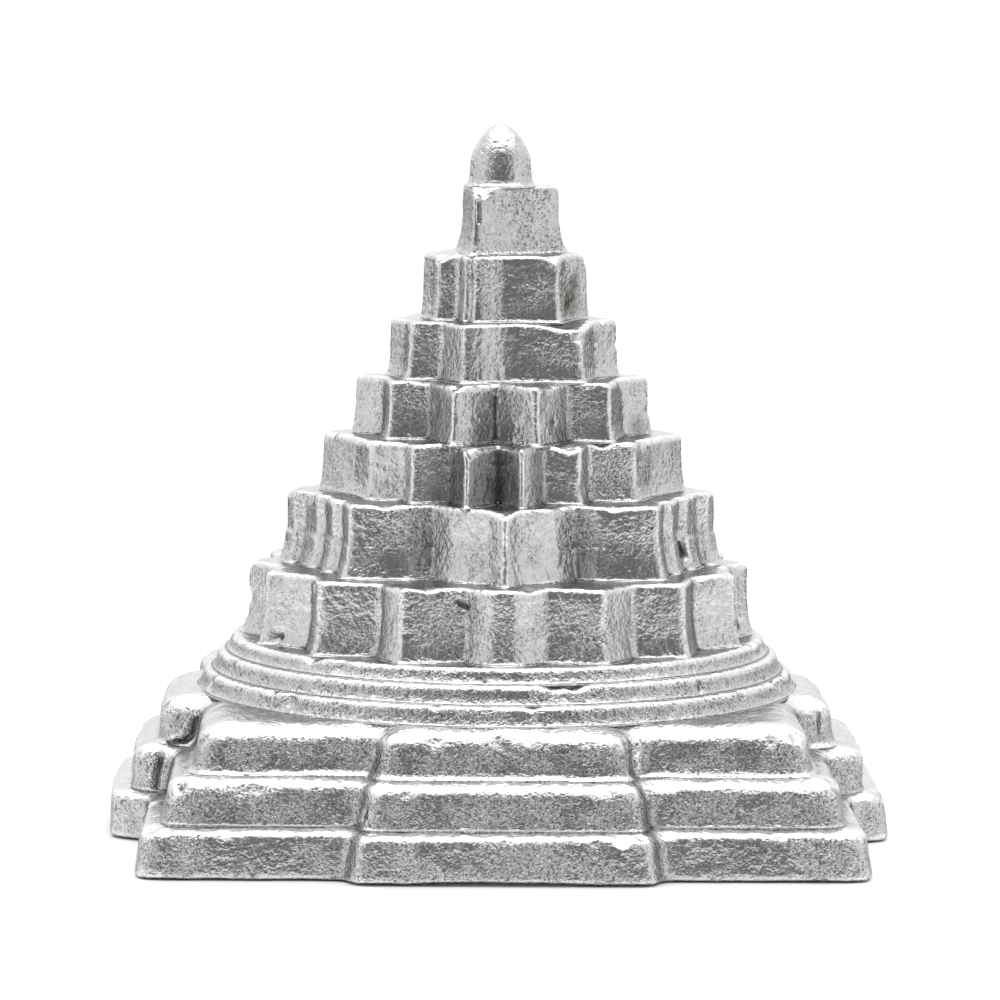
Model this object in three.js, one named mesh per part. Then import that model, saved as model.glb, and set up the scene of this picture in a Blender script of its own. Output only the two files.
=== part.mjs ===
// A raised shri yantra, the small kind cast in a soft white metal and kept on a shelf or altar.
// It rises in fourteen courses: three square ones with a gate on each side, three round steps,
// a tier of sixteen petals, a tier of eight petals, four star tiers, a triangle and a domed tip.
// Millimetres, +Z up. The origin is the centre of the flat underside. The square sides run along
// X and Y, the front faces -Y, and each star tier is symmetrical about the X axis.

import * as THREE from 'three';

// Every course is sized from the one that stands on it, so the plan sizes run from the tip down.

// The domed tip, and the triangle under it.
const TIP_RADIUS = 2.2;
const TIP_FLARE = 0.3;
const TIP_WALL = 1.75; // height of the straight part
const DOME_HEIGHT = 2.8;
const DOME_BULGE = 1.6; // a higher number carries the full width further up
const DOME_POINT = 0.68; // 0.5 is round at the top and 1 comes to a point
const TRIANGLE_RADIUS = 4.58; // from its centre to each corner, at the shoulder
const TRIANGLE_TURN = 5.4; // degrees that its point is turned from +X
const THIRD_OF_A_TURN = 120;
const TRIANGLE_CORNER = 0.55;

// Tiers, from the top down. A tread is how much further out a tier's tips are than those of the
// tier on it, and a flare is how far its foot spreads. A drift is a shift off centre, along X.
const TRIANGLE = { tread: 0, height: 4.8, flare: 0.8, drift: -0.2 };
const INNER_STAR = { tread: 1.35, height: 4.7, flare: 0.22, drift: 0.25 };
const THIRD_STAR = { tread: 2.27, height: 4.15, flare: 0.3, drift: 0.18 };
const SECOND_STAR = { tread: 2.45, height: 4.15, flare: 0.34, drift: 0.09 };
const OUTER_STAR = { tread: 2.36, height: 4.15, flare: 0.33, drift: 0.16 };
const EIGHT_PETAL = { tread: 2.48, height: 5.2, flare: 0.48, drift: 0.07 };
const SIXTEEN_PETAL = { tread: 2.48, height: 5.15, flare: 0.52, drift: -0.07 };
const TIP_DRIFT = -0.14;
const TIER_EDGE_DROP = 0.5; // the worn top edge of every tier: how far down its wall
const TIER_EDGE_INSET = 0.33; // and how far in over its top
const PLEAT_CORNER = 0.34; // how far the rounding of a tip or a valley reaches along each face
const PETAL_COUNT = 16;
const PETAL_VALLEY = 0.9; // radius of the valleys, as a share of the radius of the tips

// Round steps.
const ROUND_HEIGHTS = { upper: 1.1, middle: 1.3, lower: 1.35 };
const PETAL_SETBACK = 0.65; // from the upper step's shoulder to the feet of the petals
const ROUND_LEAN = 0.38; // how far a wall leans in from foot to shoulder
const ROUND_EDGE = 0.28;
const ROUND_LEDGE = 0.62; // from one wall's shoulder to the foot of the wall above
const ROUND_DRIFT = -0.12;

// Square courses.
const SQUARE_HEIGHTS = { upper: 3.35, middle: 3.15, lower: 3.55 };
const ROUND_SETBACK = 1.33; // from the upper front gate's shoulder to the foot of the round steps
const SQUARE_LEAN = 0.45;
const SQUARE_EDGE = 0.9;
const SQUARE_LEDGE = 1.5;
const SQUARE_CORNER = 1.7; // how far the rounding of a plan corner reaches along each wall

// Gates, the block that stands out from the middle of each side of a square course. The width is
// half the upper gate's, each lower gate is wider by one step to each side, and the cheeks splay
// out to meet the wall. Front gates face along Y, at the front and back, and side gates along X.
// A lean is how much a gate's outer face leans in, as a share of the wall's.
const FRONT_GATE = { halfWidth: 8.5, step: 0.95, reach: 1.9, splay: 0.5, lean: 1 };
const SIDE_GATE = { halfWidth: 7.2, step: 0.7, reach: 2.5, splay: 1.3, lean: 0.7 };
const GATE_CORNER = 0.9;
const GATE_ROOT = 0.4; // fillet between cheek and wall
const GATE_CHEEK_LEAN = 0.8; // lean of the cheeks, as a share of the wall's

const EDGE_TURNS = [0, 30, 60, 90]; // degrees of each rounded edge at which it has a corner
const ROUND_SEGMENTS = 64;
const TIP_SEGMENTS = 36;
const DOME_STEPS = 10;

// Half outlines of the star tiers, from the point on -X, past the front, to the point on +X.
// Each corner is a distance along X and one towards the front, as shares of the tip radius.
const OUTER_STAR_SHARES = [
  [-1, 0], [-0.804, 0.342], [-0.734, 0.551], [-0.543, 0.644], [-0.498, 0.753], [-0.295, 0.691],
  [-0.214, 0.978], [-0.035, 0.738], [0.082, 0.994], [0.148, 0.885], [0.206, 0.738], [0.404, 0.753],
  [0.454, 0.621], [0.71, 0.567], [0.804, 0.326], [1, 0],
];
const SECOND_STAR_SHARES = [
  [-1, 0], [-0.8, 0.21], [-0.758, 0.551], [-0.49, 0.532], [-0.337, 0.941], [-0.055, 0.732],
  [0.209, 0.978], [0.425, 0.618], [0.708, 0.646], [0.8, 0.22], [1, 0],
];
const THIRD_STAR_SHARES = [
  [-1, 0], [-0.868, 0.236], [-0.828, 0.565], [-0.546, 0.571], [-0.356, 0.937], [0.174, 0.782],
  [0.664, 0.751], [0.779, 0.31], [1, 0],
];
const INNER_STAR_SHARES = [
  [-1, 0], [-0.887, 0.273], [-0.828, 0.563], [-0.572, 0.58], [-0.49, 0.802], [-0.427, 0.776],
  [-0.382, 0.922], [0.102, 0.794], [0.625, 0.782], [0.717, 0.444], [1, 0],
];

// A quarter of the eight-petal outline, from the front tip round to the tip on +X: the flank of
// the front petal, a narrow slot, the broad corner petal, and three small pleats at the side.
const EIGHT_PETAL_SHARES = [
  [0, 1], [0.072, 0.904], [0.234, 0.793], [0.325, 0.683], [0.429, 0.728], [0.585, 0.728], [0.705, 0.705],
  [0.731, 0.494], [0.78, 0.475], [0.813, 0.312], [0.852, 0.299], [0.91, 0.124], [0.959, 0.111], [1, 0],
];

function castMetal() {
  return new THREE.MeshStandardMaterial({ color: 0xc4c6c8, roughness: 0.34, metalness: 1 });
}

/** Rounds every corner of a closed outline of [x, y, reach] with a short curve of three points. */
function softened(corners) {
  return corners.flatMap(([x, y, reach], i) => {
    const corner = new THREE.Vector2(x, y);
    const neighbours = [corners.at(i - 1), corners[(i + 1) % corners.length]];
    const ends = neighbours.map(([otherX, otherY]) => {
      const side = new THREE.Vector2(otherX, otherY).sub(corner);
      return side.setLength(Math.min(reach, 0.42 * side.length())).add(corner);
    });
    return new THREE.QuadraticBezierCurve(ends[0], corner, ends[1]).getPoints(2);
  });
}

/** A closed solid through plan outlines of equal length, each with its own height, lowest first. */
function loft(sections) {
  const count = sections[0].outline.length;
  const positions = [];
  const faces = [];
  for (const { outline, z } of sections) {
    for (const point of outline) positions.push(point.x, point.y, z);
  }
  const lastRing = (sections.length - 1) * count;
  for (let ring = 0; ring < lastRing; ring += count) {
    for (let i = 0; i < count; i += 1) {
      const a = ring + i;
      const b = ring + ((i + 1) % count);
      faces.push(a, b, b + count, a, b + count, a + count);
    }
  }
  for (const [a, b, c] of THREE.ShapeUtils.triangulateShape(sections[0].outline, [])) {
    faces.push(a, c, b);
  }
  for (const [a, b, c] of THREE.ShapeUtils.triangulateShape(sections.at(-1).outline, [])) {
    faces.push(lastRing + a, lastRing + b, lastRing + c);
  }
  const geometry = new THREE.BufferGeometry();
  geometry.setAttribute('position', new THREE.Float32BufferAttribute(positions, 3));
  geometry.setIndex(faces);
  geometry.computeVertexNormals();
  return geometry;
}

/** Insets and heights of a rounded top edge, from the shoulder of a wall to the flat top. */
function roundedEdge(inset, drop, top) {
  return EDGE_TURNS.map((degrees) => {
    const turn = THREE.MathUtils.degToRad(degrees);
    return [inset * (1 - Math.cos(turn)), top - drop * (1 - Math.sin(turn))];
  });
}

/** Turns a profile of radii and heights into a solid of revolution that stands on z = 0. */
function revolved(profile, segments) {
  const points = profile.map(([radius, z]) => new THREE.Vector2(radius, z));
  return new THREE.LatheGeometry(points, segments).rotateX(Math.PI / 2);
}

/** The tip: a short wall with a flared foot, closing in a pointed dome. */
function domedTip() {
  const profile = [
    [0, 0],
    [TIP_RADIUS + TIP_FLARE, 0],
    [TIP_RADIUS + 0.3 * TIP_FLARE, 0.3 * TIP_WALL],
    [TIP_RADIUS, TIP_WALL],
  ];
  for (let step = 1; step <= DOME_STEPS; step += 1) {
    const rise = step / DOME_STEPS;
    profile.push([TIP_RADIUS * (1 - rise ** DOME_BULGE) ** DOME_POINT, TIP_WALL + rise * DOME_HEIGHT]);
  }
  return revolved(profile, TIP_SEGMENTS);
}

/** A tier with a hollow flare at its foot and a worn edge round its top, on one plan outline. */
function tier(outline, radius, { height, flare }) {
  const section = (spread, z) => {
    const scale = 1 + spread / radius;
    return { outline: outline.map((point) => point.clone().multiplyScalar(scale)), z };
  };
  return loft([
    section(flare, 0),
    section(0.38 * flare, 0.2 * height),
    section(0.08 * flare, 0.48 * height),
    ...roundedEdge(TIER_EDGE_INSET, TIER_EDGE_DROP, height).map(([inset, z]) => section(-inset, z)),
  ]);
}

function trianglePlan(radius) {
  return softened([0, 1, 2].map((corner) => {
    const angle = THREE.MathUtils.degToRad(corner * THIRD_OF_A_TURN + TRIANGLE_TURN);
    return [radius * Math.cos(angle), radius * Math.sin(angle), TRIANGLE_CORNER];
  }));
}

/** Plan of a star tier: a half outline and its mirror image across the X axis. */
function starPlan(half, radius) {
  const front = half.map(([x, depth]) => [x * radius, -depth * radius]);
  const back = front.slice(1, -1).reverse().map(([x, y]) => [x, -y]);
  return softened([...front, ...back].map(([x, y]) => [x, y, PLEAT_CORNER]));
}

/** Plan of the eight-petal tier: a quarter outline, mirrored to the back and then to the left. */
function eightPetalPlan(radius) {
  const frontRight = EIGHT_PETAL_SHARES.map(([x, depth]) => [x * radius, -depth * radius]);
  const right = [...frontRight, ...frontRight.slice(0, -1).reverse().map(([x, y]) => [x, -y])];
  const left = right.slice(1, -1).reverse().map(([x, y]) => [-x, y]);
  return softened([...right, ...left].map(([x, y]) => [x, y, PLEAT_CORNER]));
}

function sixteenPetalPlan(radius) {
  return softened(Array.from({ length: 2 * PETAL_COUNT }, (_, i) => {
    const angle = (i * Math.PI) / PETAL_COUNT;
    const reach = i % 2 === 0 ? radius : PETAL_VALLEY * radius;
    return [reach * Math.sin(angle), -reach * Math.cos(angle), PLEAT_CORNER];
  }));
}

/** A round step, given the radius of its shoulder. */
function roundStep(shoulder, height) {
  return revolved([
    [0, 0],
    [shoulder + ROUND_LEAN, 0],
    [shoulder + 0.3 * ROUND_LEAN, 0.35 * height],
    ...roundedEdge(ROUND_EDGE, ROUND_EDGE, height).map(([inset, z]) => [shoulder - inset, z]),
    [0, height],
  ], ROUND_SEGMENTS);
}

/** Plan of a square course: four walls, each with its gate, as corners with their rounding. */
function squarePlan(half, place, inset) {
  const corners = [];
  for (let side = 0; side < 4; side += 1) {
    const gate = side % 2 === 0 ? FRONT_GATE : SIDE_GATE;
    const cheek = gate.halfWidth + place * gate.step - GATE_CHEEK_LEAN * inset;
    const root = cheek + gate.splay;
    const face = half + gate.reach + (1 - gate.lean) * inset;
    const wall = [
      [-half, -half, SQUARE_CORNER],
      [-root, -half, GATE_ROOT],
      [-cheek, -face, GATE_CORNER],
      [cheek, -face, GATE_CORNER],
      [root, -half, GATE_ROOT],
    ];
    for (const [x, y, rounding] of wall) {
      const point = new THREE.Vector2(x, y).rotateAround(new THREE.Vector2(), (side * Math.PI) / 2);
      corners.push([point.x, point.y, rounding]);
    }
  }
  return softened(corners);
}

/** A square course, given the half side of its shoulder. Its place is 0 for the upper one. */
function squareCourse(shoulder, place, height) {
  const section = (inset, z) => ({ outline: squarePlan(shoulder + SQUARE_LEAN - inset, place, inset), z });
  const edge = roundedEdge(SQUARE_EDGE, SQUARE_EDGE, height);
  return loft([
    section(0, 0),
    ...edge.map(([inset, z]) => section(SQUARE_LEAN + inset, z)),
  ]);
}

const courses = [
  { name: 'domed_tip', geometry: domedTip(), height: TIP_WALL + DOME_HEIGHT, drift: TIP_DRIFT },
];

const tiers = [
  { name: 'summit_triangle', size: TRIANGLE, plan: trianglePlan },
  { name: 'inner_star_tier', size: INNER_STAR, plan: (radius) => starPlan(INNER_STAR_SHARES, radius) },
  { name: 'third_star_tier', size: THIRD_STAR, plan: (radius) => starPlan(THIRD_STAR_SHARES, radius) },
  { name: 'second_star_tier', size: SECOND_STAR, plan: (radius) => starPlan(SECOND_STAR_SHARES, radius) },
  { name: 'outer_star_tier', size: OUTER_STAR, plan: (radius) => starPlan(OUTER_STAR_SHARES, radius) },
  { name: 'eight_petal_tier', size: EIGHT_PETAL, plan: eightPetalPlan },
  { name: 'sixteen_petal_tier', size: SIXTEEN_PETAL, plan: sixteenPetalPlan },
];
let tipRadius = TRIANGLE_RADIUS;
for (const { name, size, plan } of tiers) {
  tipRadius += size.tread;
  const geometry = tier(plan(tipRadius), tipRadius, size);
  courses.push({ name, geometry, height: size.height, drift: size.drift });
}

let shoulder = tipRadius + SIXTEEN_PETAL.flare + PETAL_SETBACK;
for (const [place, height] of Object.entries(ROUND_HEIGHTS)) {
  const geometry = roundStep(shoulder, height);
  courses.push({ name: `${place}_round_step`, geometry, height, drift: ROUND_DRIFT });
  shoulder += ROUND_LEAN + ROUND_LEDGE;
}

const roundFoot = shoulder - ROUND_LEDGE;
let half = roundFoot + ROUND_SETBACK - FRONT_GATE.reach;
Object.entries(SQUARE_HEIGHTS).forEach(([name, height], place) => {
  const geometry = squareCourse(half, place, height);
  courses.push({ name: `${name}_square_course`, geometry, height, drift: 0 });
  half += SQUARE_LEAN + SQUARE_LEDGE;
});

// The courses were listed from the tip down. They are stacked from the ground up.
const yantra = new THREE.Group();
let level = 0;
for (const { name, geometry, height, drift } of courses.reverse()) {
  const course = new THREE.Mesh(geometry, castMetal());
  course.name = name;
  course.position.set(drift, 0, level);
  yantra.add(course);
  level += height;
}

export default yantra;
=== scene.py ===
"""Raised shri yantra in as-cast white metal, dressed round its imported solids.

Each course is rebuilt as one dense skin. Its plan and profile are read from the course's own
solid, so the skin lies where the solid is. Geometry Nodes repeat what is made of like parts,
and give every course the swells, grain, pits and beads that a casting has.
"""

import logging
import math
from dataclasses import dataclass, field, replace
from enum import Enum

import bpy
import numpy as np
from mathutils import Matrix, Vector


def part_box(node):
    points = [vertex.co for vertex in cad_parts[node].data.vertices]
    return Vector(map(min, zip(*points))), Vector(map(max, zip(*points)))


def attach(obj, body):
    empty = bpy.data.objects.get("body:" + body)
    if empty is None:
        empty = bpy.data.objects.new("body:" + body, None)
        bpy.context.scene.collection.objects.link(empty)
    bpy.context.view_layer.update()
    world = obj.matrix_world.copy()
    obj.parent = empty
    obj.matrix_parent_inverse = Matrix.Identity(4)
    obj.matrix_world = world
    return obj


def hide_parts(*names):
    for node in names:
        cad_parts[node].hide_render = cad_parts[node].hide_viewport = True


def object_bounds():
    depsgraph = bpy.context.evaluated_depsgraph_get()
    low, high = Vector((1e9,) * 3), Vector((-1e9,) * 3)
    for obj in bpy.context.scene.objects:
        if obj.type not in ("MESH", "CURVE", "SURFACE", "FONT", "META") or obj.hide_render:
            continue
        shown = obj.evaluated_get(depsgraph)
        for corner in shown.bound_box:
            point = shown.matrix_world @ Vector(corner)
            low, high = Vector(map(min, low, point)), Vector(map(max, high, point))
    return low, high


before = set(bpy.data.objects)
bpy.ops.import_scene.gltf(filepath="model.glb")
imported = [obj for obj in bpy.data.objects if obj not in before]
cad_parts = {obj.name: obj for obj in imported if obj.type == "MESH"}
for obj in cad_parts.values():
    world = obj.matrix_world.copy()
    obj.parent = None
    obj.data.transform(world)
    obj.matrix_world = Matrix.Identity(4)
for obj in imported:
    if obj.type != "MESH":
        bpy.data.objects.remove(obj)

MM = 0.001
SOLID_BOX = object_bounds()
SMOOTH = {"interpolation_type": "SMOOTHSTEP"}
# How many like parts make up a repeated ring.
RING_PARTS = 16

log = logging.getLogger("shri_yantra")


def linear(hex_colour: str) -> tuple[float, float, float, float]:
    """Turns an sRGB hex colour into the linear colour that a shader socket takes.

    Args:
        hex_colour: Six hex digits after a hash sign.

    Returns:
        Red, green, blue and an alpha of 1.
    """
    channels = [int(hex_colour[i : i + 2], 16) / 255 for i in (1, 3, 5)]
    return (*[c / 12.92 if c <= 0.04045 else ((c + 0.055) / 1.055) ** 2.4 for c in channels], 1.0)


def add_node(
    tree: bpy.types.NodeTree,
    kind: str,
    settings: dict[str, object] | None = None,
    inputs: dict[str | int, object] | None = None,
) -> bpy.types.Node:
    """Adds a node to a tree, sets it up and joins it to what feeds it.

    Args:
        tree: The shader or geometry tree.
        kind: The node's type name.
        settings: The node's own properties.
        inputs: A value, or another node's output socket, for each input by name or number.

    Returns:
        The new node.
    """
    node = tree.nodes.new(kind)
    for name, value in (settings or {}).items():
        setattr(node, name, value)
    for name, value in (inputs or {}).items():
        if isinstance(value, bpy.types.NodeSocket):
            tree.links.new(value, node.inputs[name])
        else:
            node.inputs[name].default_value = value
    return node


def smoothed(values: np.ndarray, sigma: float, axis: int, closed: bool) -> np.ndarray:
    """Blurs an array along one axis with a Gaussian.

    Args:
        values: The array.
        sigma: The blur's width, in steps of that axis.
        axis: The axis.
        closed: Whether the axis runs round and joins itself. Otherwise its two ends keep their place.

    Returns:
        The blurred array.
    """
    reach = max(1, int(3 * sigma))
    kernel = np.exp(-0.5 * (np.arange(-reach, reach + 1) / max(sigma, 1e-6)) ** 2)
    kernel /= kernel.sum()
    values = np.moveaxis(values, axis, 0)
    if closed:
        padded = np.concatenate([values[-reach:], values, values[:reach]])
    else:
        before = 2 * values[:1] - values[reach:0:-1]
        after = 2 * values[-1:] - values[-2 : -reach - 2 : -1]
        padded = np.concatenate([before, values, after])
    blurred = sum(k * padded[i : i + len(values)] for i, k in enumerate(kernel))
    return np.moveaxis(blurred, 0, axis)


def plan_rings(node: str) -> np.ndarray:
    """Reads a course's plan rings from its solid.

    Args:
        node: The name of the course's solid.

    Returns:
        Rings from foot to top in millimetres, each with the same number of points in the same order.
    """
    points = np.array([v.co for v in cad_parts[node].data.vertices]) / MM
    points = np.unique(np.round(points, 4), axis=0)
    centre = (points.min(0) + points.max(0))[:2] / 2
    out = points[:, :2] - centre
    # The points on the axis close the top and the bottom, and belong to no ring.
    on_ring = np.hypot(*out.T) > 0.05
    points, out = points[on_ring], out[on_ring]
    angle = np.arctan2(out[:, 1], out[:, 0])
    level = np.round(points[:, 2], 2)
    # Each ring starts in the foot's widest gap, where no level's points change their order.
    foot = np.sort(angle[level == level.min()])
    gaps = np.diff(np.append(foot, foot[0] + 2 * math.pi))
    start = foot[gaps.argmax()] + gaps.max() / 2
    order = np.lexsort(((angle - start) % (2 * math.pi), level))
    return points[order].reshape(len(np.unique(level)), -1, 3)


def settle(piece: bpy.types.Object) -> None:
    """Turns what a piece's modifiers make into its plain mesh.

    Args:
        piece: The piece, which loses its modifiers.
    """
    graph = bpy.context.evaluated_depsgraph_get()
    before = piece.data
    piece.data = bpy.data.meshes.new_from_object(piece.evaluated_get(graph), depsgraph=graph)
    piece.modifiers.clear()
    bpy.data.meshes.remove(before)
    piece.data.name = piece.name


def hollows(
    mesh: bpy.types.Mesh,
    points: np.ndarray,
    normals: np.ndarray,
    rounds: int = 7,
    longest: float = 0.5,
    sharp: float = 0.07,
) -> np.ndarray:
    """Measures how hollow a skin is at each point, by how far it lies off the mean round it.

    Args:
        mesh: The mesh, for its edges.
        points: Its points in millimetres.
        normals: The outward direction at each point.
        rounds: How often each point takes the mean of its neighbours.
        longest: Edges longer than this many millimetres are left out.
        sharp: How many millimetres off the mean count as 1.

    Returns:
        A number for each point: above 0 in hollows and below 0 on ridges, about 1 where sharp.
    """
    ends = np.empty(len(mesh.edges) * 2, dtype=np.int64)
    mesh.edges.foreach_get("vertices", ends)
    ends = ends.reshape(-1, 2)
    short = np.linalg.norm(points[ends[:, 0]] - points[ends[:, 1]], axis=1) < longest
    a, b = ends[short].T
    share = 1 / (1 + np.bincount(a, minlength=len(points)) + np.bincount(b, minlength=len(points)))
    mean = points.copy()
    for _ in range(rounds):
        total = mean.copy()
        for k in range(3):
            total[:, k] += np.bincount(a, mean[b, k], len(points)) + np.bincount(b, mean[a, k], len(points))
        mean = total * share[:, None]
    return np.einsum("ij,ij->i", mean - points, normals) / sharp


@dataclass(frozen=True)
class CastSkin:
    """The surface that the mould leaves on one course. Lengths are in millimetres.

    A skin with an outward share of 0.5 swells and sinks by the same amount, and one with less
    mostly sinks. Grit says how frosted its walls are, and also darkens them with a painted grain
    shade. The ledge share says how white its ledges are, partly from rubbing and partly as a
    painted highlight on the tops.
    """

    swell_depth: float = 0.09
    swell_size: float = 2.6
    ripple_depth: float = 0.03
    ripple_size: float = 0.7
    grain_depth: float = 0.035
    grain_size: float = 0.42
    pit_depth: float = 0.12
    pit_radius: float = 0.2
    pits_per_cm2: float = 2.4
    bead_height: float = 0.05
    bead_radius: float = 0.22
    beads_per_cm2: float = 1.5
    outward_share: float = 0.5
    grit: float = 0.22
    # How much the ledges whiten: partly rubbing, partly a painted highlight on the tops.
    rubbed: float = 0.0
    seed: int = 1


@dataclass(frozen=True)
class CastWhiteMetal:
    """Unpolished cast tin alloy, bright and neutral.

    It gives the eye a fine sparkling frost that burns out where it faces the light, smooth
    patches between gritty ones and here and there a faint brown stain. Its colour carries painted
    shade in the pores, the form's hollows, along the feet and in the low points of the frost, a
    painted grain shade where it is gritty, and whiter ridges and ledges that are partly wear and
    partly a painted highlight. A name that ends in span gives the two ends of what a pattern or
    an attribute fades over.
    """

    name: str = "as_cast_white_metal"
    bright: str = "#DCDDDE"
    # The grey that grit pulls the colour towards: the grit's own dullness and a painted grain shade.
    dull_and_grain_shade: str = "#ABACAD"
    # The colour of whitened ridges and ledges: partly wear, partly a painted highlight.
    worn_and_highlight: str = "#F2F2F2"
    # The colour of the painted shade in hollows, pores, along the feet and in the frost's low points.
    painted_shade: str = "#6A6A69"
    grazing: str = "#B4B4B4"
    stain: str = "#716D62"
    roughness: float = 0.22
    roughness_swing: tuple[float, float] = (0.07, -0.04)
    rubbed_roughness: float = 0.2
    # The real frost is about 0.1 mm wide. It is drawn at twice that, so that it still shows.
    frost_mm: float = 0.19
    frost_relief_mm: float = 0.12
    peel_mm: float = 0.45
    peel_relief_mm: float = 0.09
    patch_mm: float = 2.6
    patch_grit: float = 2.0
    patch_span: tuple[float, float] = (0.44, 0.62)
    frost_shade: float = 0.8
    frost_span: tuple[float, float] = (0.36, 0.5)
    pore_mm: float = 0.55
    pore_depth_mm: float = 0.06
    pore_share: float = 0.7
    pore_span: tuple[float, float] = (0.12, 0.3)
    ragged_mm: float = 0.3
    mottle_mm: float = 0.8
    mottle_span: tuple[float, float] = (0.35, 0.65)
    unshaded_tone_span: tuple[float, float] = (-0.6, 0.3)
    hollow_span: tuple[float, float] = (0.3, 1.2)
    ridge_span: tuple[float, float] = (-0.2, -0.8)

    def material(self) -> bpy.types.Material:
        """Builds the procedural material.

        Returns:
            The material, which reads Object coordinates and the skin's own attributes.
        """
        material = bpy.data.materials.new(self.name)
        material.use_nodes = True
        tree = material.node_tree
        tree.nodes.clear()
        place = add_node(tree, "ShaderNodeTexCoord").outputs["Object"]
        grit = add_node(tree, "ShaderNodeAttribute", {"attribute_name": "grit"}).outputs["Fac"]
        rough = add_node(tree, "ShaderNodeAttribute", {"attribute_name": "rough"}).outputs["Fac"]
        cluster = add_node(
            tree, "ShaderNodeMath", {"operation": "MULTIPLY_ADD"},
            {0: self._patches(tree, place), 1: self.patch_grit, 2: 1.0},
        ).outputs[0]
        gritty = add_node(
            tree, "ShaderNodeMath", {"operation": "MULTIPLY_ADD", "use_clamp": True},
            {0: cluster, 1: grit, 2: rough},
        ).outputs[0]
        frost = add_node(
            tree, "ShaderNodeTexNoise", None,
            {"Vector": place, "Scale": 1 / (self.frost_mm * MM), "Detail": 2.0, "Roughness": 0.6},
        ).outputs["Fac"]
        pores = self._pores(tree, place, gritty)
        mottle = add_node(
            tree, "ShaderNodeTexNoise", None,
            {"Vector": place, "Scale": 1 / (self.mottle_mm * MM), "Detail": 3.0, "Roughness": 0.6},
        ).outputs["Fac"]
        roughness = add_node(
            tree, "ShaderNodeMapRange", None,
            {
                "Value": mottle, "From Min": self.mottle_span[0], "From Max": self.mottle_span[1],
                "To Min": self.roughness + self.roughness_swing[0],
                "To Max": self.roughness + self.roughness_swing[1],
            },
        ).outputs["Result"]
        rubbed = add_node(tree, "ShaderNodeAttribute", {"attribute_name": "rubbed"}).outputs["Fac"]
        roughness = add_node(
            tree, "ShaderNodeMath", {"operation": "MULTIPLY_ADD"},
            {0: rubbed, 1: self.rubbed_roughness, 2: roughness},
        ).outputs[0]
        shader = add_node(
            tree, "ShaderNodeBsdfPrincipled", None,
            {
                "Base Color": self._colour(tree, mottle, self._shade(tree, frost, gritty, pores)),
                "Metallic": 1.0,
                "Specular Tint": linear(self.grazing),
                "Roughness": roughness,
                "Normal": self._relief(tree, place, frost, gritty, pores),
            },
        )
        add_node(tree, "ShaderNodeOutputMaterial", None, {"Surface": shader.outputs["BSDF"]})
        return material

    def _patches(self, tree: bpy.types.NodeTree, place: bpy.types.NodeSocket) -> bpy.types.NodeSocket:
        """Lays out the gritty patches.

        Args:
            tree: The material's tree.
            place: The Object coordinates.

        Returns:
            0 on smooth metal and 1 in a gritty patch.
        """
        cloud = add_node(
            tree, "ShaderNodeTexNoise", None,
            {"Vector": place, "Scale": 1 / (self.patch_mm * MM), "Detail": 3.0, "Roughness": 0.55},
        ).outputs["Fac"]
        return add_node(
            tree, "ShaderNodeMapRange", SMOOTH,
            {"Value": cloud, "From Min": self.patch_span[0], "From Max": self.patch_span[1]},
        ).outputs["Result"]

    def _pores(
        self, tree: bpy.types.NodeTree, place: bpy.types.NodeSocket, gritty: bpy.types.NodeSocket
    ) -> bpy.types.NodeSocket:
        """Scatters small ragged pores over the gritty metal.

        Args:
            tree: The material's tree.
            place: The Object coordinates.
            gritty: How gritty the metal is.

        Returns:
            1 inside a pore and 0 outside it.
        """
        ragged = add_node(
            tree, "ShaderNodeTexNoise", None,
            {"Vector": place, "Scale": 1 / (self.ragged_mm * MM), "Detail": 1.0},
        ).outputs["Color"]
        pushed = add_node(
            tree, "ShaderNodeVectorMath", {"operation": "MULTIPLY_ADD"},
            {0: ragged, 1: (self.ragged_mm * MM,) * 3, 2: place},
        ).outputs[0]
        distance = add_node(
            tree, "ShaderNodeTexVoronoi", None, {"Vector": pushed, "Scale": 1 / (self.pore_mm * MM)}
        ).outputs["Distance"]
        pore = add_node(
            tree, "ShaderNodeMapRange", SMOOTH,
            {
                "Value": distance, "From Min": self.pore_span[0], "From Max": self.pore_span[1],
                "To Min": 1.0, "To Max": 0.0,
            },
        ).outputs["Result"]
        share = add_node(
            tree, "ShaderNodeMath", {"operation": "MULTIPLY"}, {0: gritty, 1: self.pore_share}
        ).outputs[0]
        return add_node(tree, "ShaderNodeMath", {"operation": "MULTIPLY"}, {0: pore, 1: share}).outputs[0]

    def _shade(
        self,
        tree: bpy.types.NodeTree,
        frost: bpy.types.NodeSocket,
        gritty: bpy.types.NodeSocket,
        pores: bpy.types.NodeSocket,
    ) -> bpy.types.NodeSocket:
        """Finds where shade is painted: the form's hollows and the line along the feet, the pores and the low
        points of the frost.

        Args:
            tree: The material's tree.
            frost: The height of the frost.
            gritty: How gritty the metal is.
            pores: Where the pores are.

        Returns:
            0 on open metal and 1 where shade is fully painted.
        """
        # Painted shade in the low points of the frost, where the metal is gritty.
        low = add_node(
            tree, "ShaderNodeMapRange", SMOOTH,
            {
                "Value": frost, "From Min": self.frost_span[0], "From Max": self.frost_span[1],
                "To Min": self.frost_shade, "To Max": 0.0,
            },
        ).outputs["Result"]
        low = add_node(tree, "ShaderNodeMath", {"operation": "MULTIPLY"}, {0: low, 1: gritty}).outputs[0]
        cavity = add_node(tree, "ShaderNodeAttribute", {"attribute_name": "cavity"}).outputs["Fac"]
        # Painted shade in the form's hollows and along the feet.
        painted_shade = add_node(
            tree, "ShaderNodeMapRange", SMOOTH,
            {"Value": cavity, "From Min": self.hollow_span[0], "From Max": self.hollow_span[1]},
        ).outputs["Result"]
        deep = add_node(tree, "ShaderNodeMath", {"operation": "MAXIMUM"}, {0: painted_shade, 1: pores}).outputs[0]
        return add_node(tree, "ShaderNodeMath", {"operation": "MAXIMUM"}, {0: deep, 1: low}).outputs[0]

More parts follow.
